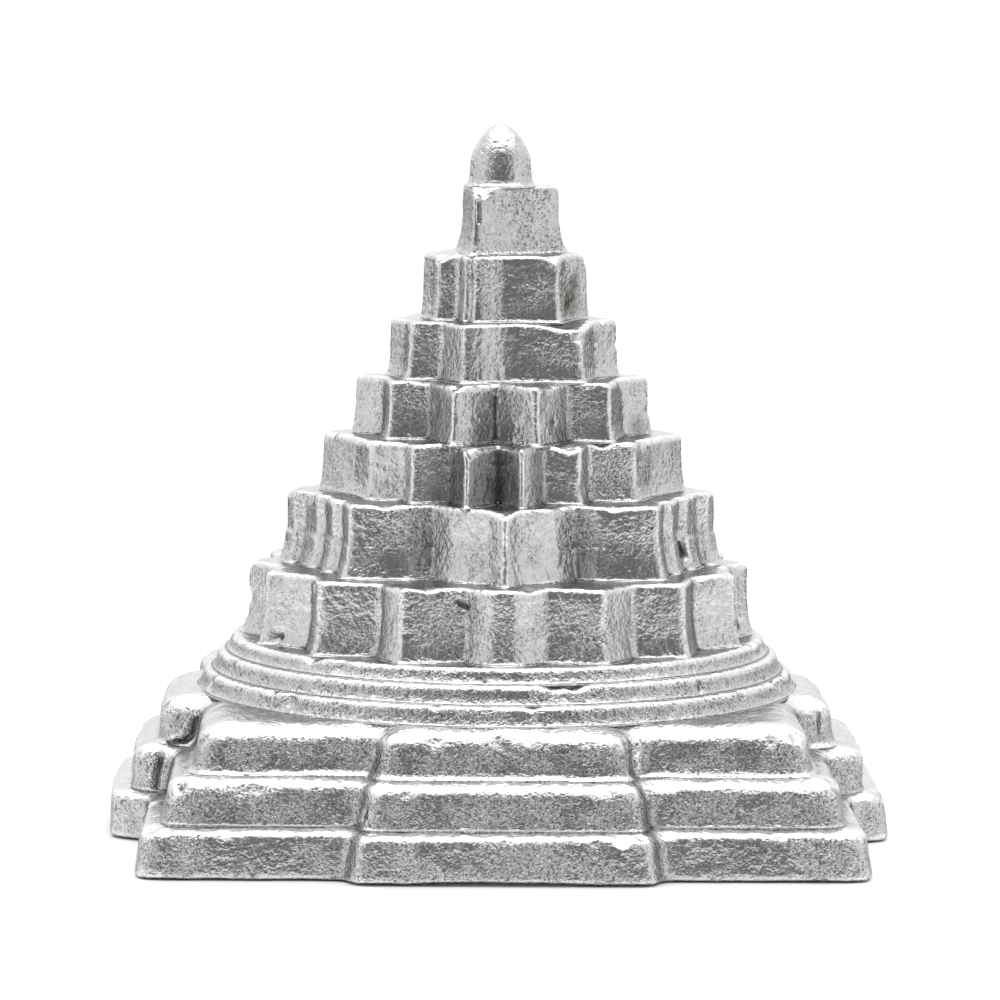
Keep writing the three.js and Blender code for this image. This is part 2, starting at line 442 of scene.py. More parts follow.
    def _colour(
        self,
        tree: bpy.types.NodeTree,
        mottle: bpy.types.NodeSocket,
        shade: bpy.types.NodeSocket,
    ) -> bpy.types.NodeSocket:
        """Colours the metal: mottled, with a painted grain shade where gritty, whiter on ridges and
        ledges as wear and painted highlight, with painted shade in hollows, pores and feet, stained.

        Args:
            tree: The material's tree.
            mottle: The fine clouding of the surface.
            shade: Where the shaded bottoms are.

        Returns:
            The base colour.
        """
        cavity = add_node(tree, "ShaderNodeAttribute", {"attribute_name": "cavity"}).outputs["Fac"]
        grit = add_node(tree, "ShaderNodeAttribute", {"attribute_name": "grit"}).outputs["Fac"]
        # Grit pulls the colour towards the dull grey, partly as the grit's own dullness and partly as a
        # painted shade of the grain's self-shadow, so ledges come out lighter than walls.
        unshaded_tone = add_node(tree, "ShaderNodeMath", {"operation": "SUBTRACT"}, {0: mottle, 1: grit}).outputs[0]
        share = add_node(
            tree, "ShaderNodeMapRange", None,
            {"Value": unshaded_tone, "From Min": self.unshaded_tone_span[0], "From Max": self.unshaded_tone_span[1]},
        ).outputs["Result"]
        colour = add_node(
            tree, "ShaderNodeMix", {"data_type": "RGBA"},
            {0: share, 6: linear(self.dull_and_grain_shade), 7: linear(self.bright)},
        ).outputs[2]
        # Ridges and ledges are whitened: partly wear, partly a painted highlight.
        ridge = add_node(
            tree, "ShaderNodeMapRange", SMOOTH,
            {"Value": cavity, "From Min": self.ridge_span[0], "From Max": self.ridge_span[1]},
        ).outputs["Result"]
        ledge = add_node(tree, "ShaderNodeAttribute", {"attribute_name": "rubbed"}).outputs["Fac"]
        rubbed = add_node(tree, "ShaderNodeMath", {"operation": "MAXIMUM"}, {0: ridge, 1: ledge}).outputs[0]
        colour = add_node(
            tree, "ShaderNodeMix", {"data_type": "RGBA"}, {0: rubbed, 6: colour, 7: linear(self.worn_and_highlight)}
        ).outputs[2]
        # Painted shade in the hollows, pores, along the feet and in the frost's low points.
        colour = add_node(
            tree, "ShaderNodeMix", {"data_type": "RGBA"}, {0: shade, 6: colour, 7: linear(self.painted_shade)}
        ).outputs[2]
        stain = add_node(tree, "ShaderNodeAttribute", {"attribute_name": "stain"}).outputs["Fac"]
        stained = add_node(
            tree, "ShaderNodeMath", {"operation": "MULTIPLY", "use_clamp": True}, {0: stain, 1: mottle}
        ).outputs[0]
        return add_node(
            tree, "ShaderNodeMix", {"data_type": "RGBA"}, {0: stained, 6: colour, 7: linear(self.stain)}
        ).outputs[2]

    def _relief(
        self,
        tree: bpy.types.NodeTree,
        place: bpy.types.NodeSocket,
        frost: bpy.types.NodeSocket,
        gritty: bpy.types.NodeSocket,
        pores: bpy.types.NodeSocket,
    ) -> bpy.types.NodeSocket:
        """Raises the orange peel and the frost, and sinks the pores.

        Args:
            tree: The material's tree.
            place: The Object coordinates.
            frost: The height of the frost.
            gritty: How gritty the metal is.
            pores: Where the pores are.

        Returns:
            The shading normal.
        """
        peel = add_node(
            tree, "ShaderNodeTexNoise", None,
            {"Vector": place, "Scale": 1 / (self.peel_mm * MM), "Detail": 1.0},
        ).outputs["Fac"]
        normal = add_node(
            tree, "ShaderNodeBump", None,
            {"Height": peel, "Strength": 1.0, "Distance": self.peel_relief_mm * MM},
        ).outputs["Normal"]
        depth = add_node(
            tree, "ShaderNodeMath", {"operation": "MULTIPLY"}, {0: gritty, 1: self.frost_relief_mm * MM}
        ).outputs[0]
        normal = add_node(
            tree, "ShaderNodeBump", None,
            {"Height": frost, "Strength": 1.0, "Distance": depth, "Normal": normal},
        ).outputs["Normal"]
        return add_node(
            tree, "ShaderNodeBump", {"invert": True},
            {"Height": pores, "Strength": 1.0, "Distance": self.pore_depth_mm * MM, "Normal": normal},
        ).outputs["Normal"]


class SkinTree:
    """The Geometry Nodes tree that turns a smooth course into a cast one."""

    LENGTHS = (
        "swell_depth", "swell_size", "ripple_depth", "ripple_size", "grain_depth", "grain_size",
        "pit_depth", "pit_radius", "bead_height", "bead_radius",
    )
    NUMBERS = ("outward_share", "pits_per_cm2", "beads_per_cm2", "grit", "rubbed")
    # A face is a wall where it points upwards by less than the first number, and a ledge past the second.
    LEVEL_SPAN = (0.35, 0.7)
    LEDGE_GRIT = 0.12
    WALL_LIMIT = 0.8
    BEAD_SEED_STEP = 50.0
    SHIFT_PER_SEED = 0.137

    def __init__(self, metal: bpy.types.Material) -> None:
        """Builds the tree.

        Args:
            metal: The material that the tree's last node sets.
        """
        self.tree = bpy.data.node_groups.new("cast_skin", "GeometryNodeTree")
        interface = self.tree.interface
        interface.new_socket("Geometry", in_out="INPUT", socket_type="NodeSocketGeometry")
        self.sockets = {
            name: interface.new_socket(name, in_out="INPUT", socket_type="NodeSocketFloat").identifier
            for name in (*self.LENGTHS, *self.NUMBERS)
        }
        self.sockets["seed"] = interface.new_socket(
            "seed", in_out="INPUT", socket_type="NodeSocketInt"
        ).identifier
        interface.new_socket("Geometry", in_out="OUTPUT", socket_type="NodeSocketGeometry")
        given = add_node(self.tree, "NodeGroupInput").outputs
        body = given["Geometry"]
        pits = self._scatter(body, given["pits_per_cm2"], given["pit_radius"], given["seed"])
        bead_seed = add_node(
            self.tree, "ShaderNodeMath", {"operation": "ADD"}, {0: given["seed"], 1: self.BEAD_SEED_STEP}
        ).outputs[0]
        beads = self._scatter(body, given["beads_per_cm2"], given["bead_radius"], bead_seed)
        moved = add_node(
            self.tree, "GeometryNodeSetPosition", None,
            {"Geometry": body, "Offset": self._offset(given, pits, beads)},
        ).outputs[0]
        normal = add_node(self.tree, "GeometryNodeInputNormal").outputs[0]
        upright = add_node(self.tree, "ShaderNodeSeparateXYZ", None, {0: normal}).outputs["Z"]
        level = add_node(
            self.tree, "ShaderNodeMapRange", None,
            {"Value": upright, "From Min": self.LEVEL_SPAN[0], "From Max": self.LEVEL_SPAN[1]},
        ).outputs["Result"]
        wall_share = add_node(
            self.tree, "ShaderNodeMath", {"operation": "MULTIPLY_ADD"},
            {0: level, 1: self.LEDGE_GRIT - 1.0, 2: 1.0},
        ).outputs[0]
        # Walls take the full grit and ledges little. In the material, grit also darkens the colour with a
        # painted grain shade.
        grit = add_node(
            self.tree, "ShaderNodeMath", {"operation": "MULTIPLY"}, {0: given["grit"], 1: wall_share}
        ).outputs[0]
        # Upward faces get a share that whitens them in the material: partly rubbing, partly a painted
        # highlight on the tops.
        rubbed = add_node(
            self.tree, "ShaderNodeMath", {"operation": "MULTIPLY"}, {0: given["rubbed"], 1: level}
        ).outputs[0]
        marked = moved
        for name, value in (("grit", grit), ("rubbed", rubbed)):
            marked = add_node(
                self.tree, "GeometryNodeStoreNamedAttribute", {"data_type": "FLOAT", "domain": "POINT"},
                {"Geometry": marked, "Name": name, "Value": value},
            ).outputs[0]
        real = add_node(self.tree, "GeometryNodeRealizeInstances", None, {"Geometry": marked}).outputs[0]
        dressed = add_node(
            self.tree, "GeometryNodeSetMaterial", None, {"Geometry": real, "Material": metal}
        ).outputs[0]
        add_node(self.tree, "NodeGroupOutput", None, {"Geometry": dressed})

    def _scatter(
        self,
        body: bpy.types.NodeSocket,
        per_cm2: bpy.types.NodeSocket,
        radius: bpy.types.NodeSocket,
        seed: bpy.types.NodeSocket,
    ) -> bpy.types.NodeSocket:
        """Scatters round spots over the walls.

        Args:
            body: The smooth course.
            per_cm2: How many spots a square centimetre has.
            radius: A spot's radius.
            seed: The seed of the scatter.

        Returns:
            A field that is 1 at the middle of a spot and 0 outside it.
        """
        normal = add_node(self.tree, "GeometryNodeInputNormal").outputs[0]
        upright = add_node(self.tree, "ShaderNodeSeparateXYZ", None, {0: normal}).outputs["Z"]
        steep = add_node(self.tree, "ShaderNodeMath", {"operation": "ABSOLUTE"}, {0: upright}).outputs[0]
        on_wall = add_node(
            self.tree, "FunctionNodeCompare", {"operation": "LESS_THAN"}, {0: steep, 1: self.WALL_LIMIT}
        ).outputs[0]
        per_m2 = add_node(
            self.tree, "ShaderNodeMath", {"operation": "MULTIPLY"}, {0: per_cm2, 1: 1e4}
        ).outputs[0]
        points = add_node(
            self.tree, "GeometryNodeDistributePointsOnFaces", None,
            {"Mesh": body, "Selection": on_wall, "Density": per_m2, "Seed": seed},
        ).outputs["Points"]
        distance = add_node(
            self.tree, "GeometryNodeProximity", {"target_element": "POINTS"}, {0: points}
        ).outputs["Distance"]
        return add_node(
            self.tree, "ShaderNodeMapRange", SMOOTH,
            {"Value": distance, "From Min": 0.0, "From Max": radius, "To Min": 1.0, "To Max": 0.0},
        ).outputs["Result"]

    def _offset(
        self,
        given: bpy.types.NodeOutputs,
        pits: bpy.types.NodeSocket,
        beads: bpy.types.NodeSocket,
    ) -> bpy.types.NodeSocket:
        """Joins swell, ripple, grain, pits and beads into one shift along the normal.

        Args:
            given: The tree's inputs.
            pits: The field of the pits.
            beads: The field of the beads.

        Returns:
            The shift of each point.
        """
        position = add_node(self.tree, "GeometryNodeInputPosition").outputs[0]
        shift = add_node(
            self.tree, "ShaderNodeMath", {"operation": "MULTIPLY"},
            {0: given["seed"], 1: self.SHIFT_PER_SEED},
        ).outputs[0]
        place = add_node(
            self.tree, "ShaderNodeVectorMath", {"operation": "ADD"}, {0: position, 1: shift}
        ).outputs[0]
        drawn_out = add_node(
            self.tree, "ShaderNodeVectorMath", {"operation": "MULTIPLY"}, {0: place, 1: (0.4, 0.4, 1.0)}
        ).outputs[0]
        inward = 0.0
        layers = (("swell", place, 1.0), ("ripple", drawn_out, 1.0), ("grain", place, 2.0))
        for name, where, detail in layers:
            scale = add_node(
                self.tree, "ShaderNodeMath", {"operation": "DIVIDE"}, {0: 1.0, 1: given[name + "_size"]}
            ).outputs[0]
            height = add_node(
                self.tree, "ShaderNodeTexNoise", None, {"Vector": where, "Scale": scale, "Detail": detail}
            ).outputs[0]
            sunk = add_node(
                self.tree, "ShaderNodeMath", {"operation": "SUBTRACT"}, {0: height, 1: given["outward_share"]}
            ).outputs[0]
            inward = add_node(
                self.tree, "ShaderNodeMath", {"operation": "MULTIPLY_ADD"},
                {0: sunk, 1: given[name + "_depth"], 2: inward},
            ).outputs[0]
        inward = add_node(
            self.tree, "ShaderNodeMath", {"operation": "MULTIPLY_ADD"},
            {0: pits, 1: given["pit_depth"], 2: inward},
        ).outputs[0]
        raised = add_node(
            self.tree, "ShaderNodeMath", {"operation": "MULTIPLY"}, {0: beads, 1: given["bead_height"]}
        ).outputs[0]
        outward = add_node(
            self.tree, "ShaderNodeMath", {"operation": "SUBTRACT"}, {0: raised, 1: inward}
        ).outputs[0]
        normal = add_node(self.tree, "GeometryNodeInputNormal").outputs[0]
        return add_node(
            self.tree, "ShaderNodeVectorMath", {"operation": "SCALE"}, {0: normal, "Scale": outward}
        ).outputs[0]

    def cast(self, piece: bpy.types.Object, skin: CastSkin) -> None:
        """Runs the tree on a piece and leaves the result as its plain mesh.

        Args:
            piece: The smooth course.
            skin: The surface that it gets.
        """
        modifier = piece.modifiers.new("cast_skin", "NODES")
        modifier.node_group = self.tree
        for name in self.LENGTHS:
            modifier[self.sockets[name]] = getattr(skin, name) * MM
        for name in self.NUMBERS:
            modifier[self.sockets[name]] = getattr(skin, name)
        modifier[self.sockets["seed"]] = skin.seed
        settle(piece)


class RingTree:
    """The Geometry Nodes tree that repeats one part round the upright axis."""

    # Points of two neighbouring parts that lie closer than this many millimetres are joined.
    SEAM = 0.004

    def __init__(self, metal: bpy.types.Material) -> None:
        """Builds the tree.

        Args:
            metal: The material that the tree's last node sets.
        """
        self.tree = bpy.data.node_groups.new("repeat_round_axis", "GeometryNodeTree")
        interface = self.tree.interface
        interface.new_socket("Geometry", in_out="INPUT", socket_type="NodeSocketGeometry")
        self.count = interface.new_socket("parts", in_out="INPUT", socket_type="NodeSocketInt").identifier
        self.seam = interface.new_socket("seam", in_out="INPUT", socket_type="NodeSocketFloat").identifier
        interface.new_socket("Geometry", in_out="OUTPUT", socket_type="NodeSocketGeometry")
        given = add_node(self.tree, "NodeGroupInput").outputs
        points = add_node(
            self.tree, "GeometryNodeMeshLine", None, {"Count": given["parts"], "Offset": (0.0, 0.0, 0.0)}
        )
        index = add_node(self.tree, "GeometryNodeInputIndex").outputs[0]
        step = add_node(
            self.tree, "ShaderNodeMath", {"operation": "DIVIDE"}, {0: 2 * math.pi, 1: given["parts"]}
        ).outputs[0]
        turn = add_node(
            self.tree, "ShaderNodeMath", {"operation": "MULTIPLY"}, {0: index, 1: step}
        ).outputs[0]
        rotation = add_node(self.tree, "ShaderNodeCombineXYZ", None, {"Z": turn}).outputs[0]
        parts = add_node(
            self.tree, "GeometryNodeInstanceOnPoints", None,
            {"Points": points.outputs[0], "Instance": given["Geometry"], "Rotation": rotation},
        ).outputs[0]
        real = add_node(self.tree, "GeometryNodeRealizeInstances", None, {"Geometry": parts}).outputs[0]
        joined = add_node(
            self.tree, "GeometryNodeMergeByDistance", None, {"Geometry": real, "Distance": given["seam"]}
        ).outputs[0]
        dressed = add_node(
            self.tree, "GeometryNodeSetMaterial", None, {"Geometry": joined, "Material": metal}
        ).outputs[0]
        add_node(self.tree, "NodeGroupOutput", None, {"Geometry": dressed})

    def repeat(self, piece: bpy.types.Object, parts: int) -> None:
        """Repeats a piece's mesh round the axis and closes the seams.

        Args:
            piece: The part to repeat, with its axis through the origin.
            parts: How many parts make the ring.
        """
        modifier = piece.modifiers.new("repeat", "NODES")
        modifier.node_group = self.tree
        modifier[self.count] = parts
        modifier[self.seam] = self.SEAM * MM
        settle(piece)
        # The bare part left an empty slot before the metal's own.
        if piece.data.materials[0] is None:
            piece.data.materials.pop(index=0)


@dataclass(frozen=True)
class Dent:
    """A soft push on the metal, such as a dent, a lump, a sag or a chipped edge. In millimetres."""

    at: tuple[float, float, float]
    reach: tuple[float, float, float]
    shift: tuple[float, float, float]

    def press(self, points: np.ndarray, normals: np.ndarray) -> None:
        """Pushes the points near the dent's middle, and those further off by less.

        Args:
            points: The skin's points, which are changed.
            normals: The outward direction at each point.
        """
        away = (points - self.at) / self.reach
        points += np.exp(-np.einsum("ij,ij->i", away, away))[:, None] * self.shift


@dataclass(frozen=True)
class Crack:
    """A torn or folded line in the casting. In millimetres."""

    path: tuple[tuple[float, float, float], ...]
    width: float = 0.2
    depth: float = 0.35

    def press(self, points: np.ndarray, normals: np.ndarray) -> None:
        """Sinks the points that lie along the crack.

        Args:
            points: The skin's points, which are changed.
            normals: The outward direction at each point.
        """
        nearest = np.full(len(points), np.inf)
        for start, end in zip(np.array(self.path), np.array(self.path[1:])):
            along = end - start
            share = np.clip((points - start) @ along / (along @ along), 0, 1)
            nearest = np.minimum(nearest, np.linalg.norm(points - start - share[:, None] * along, axis=1))
        points -= self.depth * np.exp(-((nearest / self.width) ** 2))[:, None] * normals


@dataclass(frozen=True)
class Spot:
    """A stained or a rough spot, with its middle and how far it reaches in millimetres."""

    at: tuple[float, float, float]
    reach: float
    strength: float = 0.6


Mark = Dent | Crack


class PlanForm(Enum):
    """How the plan of a course is laid out."""

    WHOLE = "an outline of its own"
    SIXTEEN = "one petal, repeated sixteen times"
    TURNED = "a true circle, made of sixteen like parts"


@dataclass
class Course:
    """One course of the yantra, rebuilt as a dense closed skin. Lengths are in millimetres.

    Args:
        node: The name of the solid that the skin replaces.
        carries: The name of the solid that stands on it.
        form: How the plan is laid out.
        skin: The cast surface.
        spacing: How far apart the skin's points are.
        corner_softness: How much the plan's corners are rounded.
        edge_softness: How much the edge of the top is rounded.
        foot_fillet: How far the foot flares out. A negative one is rounded under instead.
        painted_foot_shadow: How dark the painted shadow line is where the foot meets what carries it.
        band_height: How high a wider band runs round the foot, if there is one.
        band_step: How far the band stands out.
        growth: How far the whole wall stands out past the solid.
        chamfer: How much of the top's edge is worn down at 45 degrees.
        sunk: How far a skirt reaches down into the course below.
        knocks: How many small knocks the edges have.
        knock_reach: The least and the most that a knock reaches.
        knock_depth: The least and the most that it sinks, as a share of its reach.
        knock_floor: How far above the foot the knocks begin.
        tuck: How far the top runs on under what it carries.
        marks: Its dents and cracks.
        rough: Its rough spots, which also get more painted frost shade and pores.
        stains: Its stains.
    """

    node: str = ""
    carries: str = ""
    form: PlanForm = PlanForm.WHOLE
    skin: CastSkin = field(default_factory=CastSkin)
    spacing: float = 0.14
    corner_softness: float = 0.12
    edge_softness: float = 0.13
    foot_fillet: float = 0.2
    # How dark the painted shadow line along the foot is.
    painted_foot_shadow: float = 0.7
    band_height: float = 0.0
    band_step: float = 0.0
    growth: float = 0.0
    chamfer: float = 0.1
    sunk: float = 0.1
    knocks: int = 14
    knock_reach: tuple[float, float] = (0.25, 0.7)
    knock_depth: tuple[float, float] = (0.2, 0.5)
    knock_floor: float = 0.6
    tuck: float = 0.45
    marks: tuple[Mark, ...] = ()
    rough: tuple[Spot, ...] = ()
    stains: tuple[Spot, ...] = ()

    def around(self, rings: np.ndarray) -> np.ndarray:
        """Carries each ring round in small even steps.

        Args:
            rings: The rings as read from the solid.

        Returns:
            The same rings with many points each.
        """
        middle = rings[len(rings) // 2]
        steps = np.linalg.norm(np.roll(middle, -1, axis=0) - middle, axis=1)
        along = np.concatenate([[0], np.cumsum(steps)])
        count = int(along[-1] / self.spacing / RING_PARTS) * RING_PARTS
        if self.form is PlanForm.TURNED:
            turn = np.linspace(0, 2 * math.pi, count, endpoint=False)
            centre = rings.mean((0, 1))[:2]
            radius = np.linalg.norm(rings[:, :, :2] - centre, axis=2).mean(1)
            plan = centre + radius[:, None, None] * np.stack([np.cos(turn), np.sin(turn)], axis=1)
            return np.concatenate([plan, np.broadcast_to(rings[:, :1, 2:], (len(rings), count, 1))], axis=2)
        at = np.linspace(0, along[-1], count, endpoint=False)
        closed = np.concatenate([rings, rings[:, :1]], axis=1)
        dense = np.stack(
            [np.stack([np.interp(at, along, ring[:, k]) for k in range(3)], axis=1) for ring in closed]
        )
        return smoothed(dense, self.corner_softness / self.spacing, 1, True)

    def upright(self, rings: np.ndarray) -> np.ndarray:
        """Adds rows between the rings, and spreads the foot into its fillet and band.

        Args:
            rings: The dense rings.

        Returns:
            Rows of points from the foot to the top's edge.
        """
        rise = np.linalg.norm(np.diff(rings, axis=0), axis=2).mean(1)
        along = np.concatenate([[0], np.cumsum(rise)])
        even = np.linspace(0, along[-1], max(5, int(along[-1] / self.spacing)))
        near_foot = abs(self.foot_fillet) * np.array([0.0, 0.12, 0.3, 0.55, 0.85])
        # Two rows close together make the band's upper edge a step.
        near_band = self.band_height + np.array([-0.06, 0.0]) if self.band_height else []
        at = np.unique(np.concatenate([even[even > abs(self.foot_fillet)], near_foot, near_band]))
        index = np.clip(np.searchsorted(along, at, side="right") - 1, 0, len(along) - 2)
        share = ((at - along[index]) / (along[index + 1] - along[index]))[:, None, None]
        rows = rings[index] * (1 - share) + rings[index + 1] * share
        # The way out is taken from a softer plan, so that it turns evenly round a corner.
        calm = smoothed(rows, 0.4 / self.spacing, 1, True)
        way = np.roll(calm, -1, axis=1) - np.roll(calm, 1, axis=1)
        out = np.stack([way[:, :, 1], -way[:, :, 0]], axis=2)
        out /= np.linalg.norm(out, axis=2, keepdims=True)
        height = rows[:, :, 2] - rows[0, 0, 2]
        reach = abs(self.foot_fillet)
        left = np.clip(reach - height, 0, None)
        spread = math.copysign(1, self.foot_fillet) * (reach - np.sqrt(reach**2 - left**2)) + self.growth
        if self.band_height:
            above = (height - self.band_height) / (height[-1, 0] - self.band_height)
            spread += self.band_step * np.where(above >= 0, above - 1, 1 - height / self.band_height)
        spread -= np.clip(self.chamfer - (height[-1] - height), 0, None)
        rows[:, :, :2] += out * spread[:, :, None]
        return rows

    def ledge(self, edge: np.ndarray) -> np.ndarray:
        """Carries the flat top from its edge to just under the course above.

        Args:
            edge: The top's edge.

        Returns:
            Rows of points across the top, without the edge itself.
        """
        foot = plan_rings(self.carries)[0]
        centre = (foot.min(0) + foot.max(0))[:2] / 2
        out = foot[:, :2] - centre
        bearing = np.arctan2(out[:, 1], out[:, 0])
        order = bearing.argsort()
        own = edge[:, :2] - centre
        reach = np.hypot(*own.T)
        covered = np.interp(
            np.arctan2(own[:, 1], own[:, 0]), bearing[order], np.hypot(*out.T)[order], period=2 * math.pi
        )
        if self.form is not PlanForm.WHOLE:
            covered[:] = covered.min()
        share = np.clip((covered - self.tuck) / reach, 0.3, 0.97)
        inner = edge.copy()
        inner[:, :2] = centre + own * share[:, None]
        width = np.linalg.norm(edge - inner, axis=1).mean()
        steps = np.linspace(0, 1, max(3, int(width / self.spacing)) + 1)[1:]
        return edge + (inner - edge) * steps[:, None, None]

    def rows(self) -> np.ndarray:
        """Lays out the whole skin.

        Returns:
            Rows of points from below the foot to near the middle of the top.
        """
        wall = self.upright(self.around(plan_rings(self.node)))
        skin = np.concatenate([wall, self.ledge(wall[-1])])
        skin = smoothed(skin, self.edge_softness / self.spacing, 0, False)
        middle = np.array([*skin[-1].mean(0)[:2], skin[-1, 0, 2]])
        inner = skin[-1] + (middle - skin[-1]) * np.array([0.4, 0.75])[:, None, None]
        skirt = skin[:1] - [0, 0, self.sunk] if self.sunk else skin[:0]
        return np.concatenate([skirt, skin, inner])

    def smooth_body(self, ring_tree: RingTree) -> bpy.types.Object:
        """Makes the unworn closed body.

        Args:
            ring_tree: The Geometry Nodes that repeat a part round the axis.

        Returns:
            The body as an object.
        """
        rows = self.rows()
        middle = np.array([*(rows[0].min(0) + rows[0].max(0))[:2] / 2, 0.0])
        bottom, top = [middle + [0, 0, z] for z in (rows[0, 0, 2], max(rows[-1, 0, 2], self.peak()))]
        parts = 1 if self.form is PlanForm.WHOLE else RING_PARTS
        count = rows.shape[1] // parts
        if parts > 1:
            # One part is kept, and its last column is brought onto the next part's first.
            rows = rows[:, : count + 1] - middle
            bottom, top = bottom - middle, top - middle
            next_start = rows[:, 0] @ np.array(Matrix.Rotation(2 * math.pi / parts, 3, "Z")).T
            rows += (next_start - rows[:, -1])[:, None] * np.linspace(0, 1, count + 1)[:, None]
        points = np.concatenate([rows.reshape(-1, 3), [bottom, top]]) * MM
        index = np.arange(rows.shape[0] * rows.shape[1]).reshape(rows.shape[:2])
        nxt = np.roll(index, -1, axis=1)
        index, nxt = index[:, :count], nxt[:, :count]
        quads = np.stack([index[:-1], nxt[:-1], nxt[1:], index[1:]], axis=2).reshape(-1, 4)
        below = np.stack([nxt[0], index[0], np.full(count, len(points) - 2)], axis=1)
        over = np.stack([index[-1], nxt[-1], np.full(count, len(points) - 1)], axis=1)
        mesh = bpy.data.meshes.new(self.node + "_smooth")
        mesh.from_pydata(points.tolist(), [], quads.tolist() + below.tolist() + over.tolist())
        mesh.shade_smooth()
        piece = bpy.data.objects.new(self.node + "_cast", mesh)
        bpy.context.scene.collection.objects.link(piece)
        if parts > 1:
            ring_tree.repeat(piece, parts)
            piece.data.transform(Matrix.Translation(Vector(middle) * MM))
        return piece

    def peak(self) -> float:
        """The height of the solid's highest point, in millimetres."""
        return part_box(self.node)[1].z / MM

    def wear(self, mesh: bpy.types.Mesh) -> None:
        """Presses the marks and the small knocks into the skin, measures its hollows, and adds a painted
        shadow line along its foot.

        Args:
            mesh: The course's mesh, which also gets the attribute named cavity.
        """
        points = np.empty(len(mesh.vertices) * 3)
        mesh.vertices.foreach_get("co", points)
        points = points.reshape(-1, 3) / MM
        normals = np.empty(len(mesh.vertices) * 3)
        mesh.vertex_normals.foreach_get("vector", normals)
        normals = normals.reshape(-1, 3)
        dice = np.random.default_rng(self.skin.seed)
        on_edge = hollows(mesh, points, normals) < -0.5
        edge = np.flatnonzero(on_edge & (points[:, 2] > points[0, 2] + self.knock_floor))
        for spot in dice.choice(edge, self.knocks if len(edge) else 0):
            reach = dice.uniform(*self.knock_reach)
            shift = -normals[spot] * reach * dice.uniform(*self.knock_depth)
            Dent(tuple(points[spot]), (reach, reach, reach * 0.8), tuple(shift)).press(points, normals)
        for mark in self.marks:
            mark.press(points, normals)
        mesh.vertices.foreach_set("co", (points * MM).ravel())
        mesh.update()
        worn_normals = np.empty(len(points) * 3)
        mesh.vertex_normals.foreach_get("vector", worn_normals)
        cavity = hollows(mesh, points, worn_normals.reshape(-1, 3))
        # A painted shadow line along the foot is added to the hollow measure.
        foot = points[:, 2] - points[:, 2].min() - self.sunk
        cavity += self.painted_foot_shadow * np.exp(-((foot / 0.09) ** 2))
        mesh.attributes.new("cavity", "FLOAT", "POINT").data.foreach_set("value", cavity.astype(np.float32))
        for name, spots in (("rough", self.rough), ("stain", self.stains)):
            share = np.zeros(len(points), dtype=np.float32)
            for spot in spots:
                away = np.linalg.norm(points - spot.at, axis=1) / spot.reach
                share += spot.strength * np.exp(-(away**2))
            mesh.attributes.new(name, "FLOAT", "POINT").data.foreach_set("value", share)

    def dress(self, piece: bpy.types.Object, skin_tree: SkinTree) -> None:
        """Gives the piece its cast surface, and mounts it in place of the solid.

        Args:
            piece: The worn body.
            skin_tree: The Geometry Nodes of the cast surface.
        """
        skin_tree.cast(piece, self.skin)
        points = np.empty(len(piece.data.vertices) * 3)
        piece.data.vertices.foreach_get("co", points)
        inside = np.clip(points.reshape(-1, 3), *np.array(SOLID_BOX))
        piece.data.vertices.foreach_set("co", inside.ravel())
        piece.data.update()
        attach(piece, "root")
        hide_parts(self.node)


@dataclass
class DomedTip(Course):
    """The tip, whose top is a dome and carries nothing."""

    def ledge(self, edge: np.ndarray) -> np.ndarray:
        """Closes the dome from its last ring to its peak.

        Args:
            edge: The last ring.

        Returns:
            Rows of points up to near the peak.
        """
        middle = edge.mean(0)
        share = np.linspace(0.15, 0.96, 7)[:, None, None]
        cap = edge + (middle - edge) * share
        cap[:, :, 2] += (self.peak() - edge[0, 2]) * (1 - (1 - share[:, :, 0]) ** 2)
        return cap


@dataclass
class SubAssembly:
    """Courses of one kind that stand one on the other. Each kind has a class of its own."""

    def courses(self) -> list[Course]:
        """Lays out the courses from the ground up, which each kind does in its own way."""
        raise NotImplementedError

    def build(self, skin_tree: SkinTree, ring_tree: RingTree) -> list[bpy.types.Object]:
        """Builds, wears and dresses every course.

        Args:
            skin_tree: The Geometry Nodes of the cast surface.
            ring_tree: The Geometry Nodes that repeat a part round the axis.

        Returns:
            The finished pieces, from the ground up.
        """
        pieces = []
        for course in self.courses():
            piece = course.smooth_body(ring_tree)
            course.wear(piece.data)
            course.dress(piece, skin_tree)
            pieces.append(piece)
        return pieces


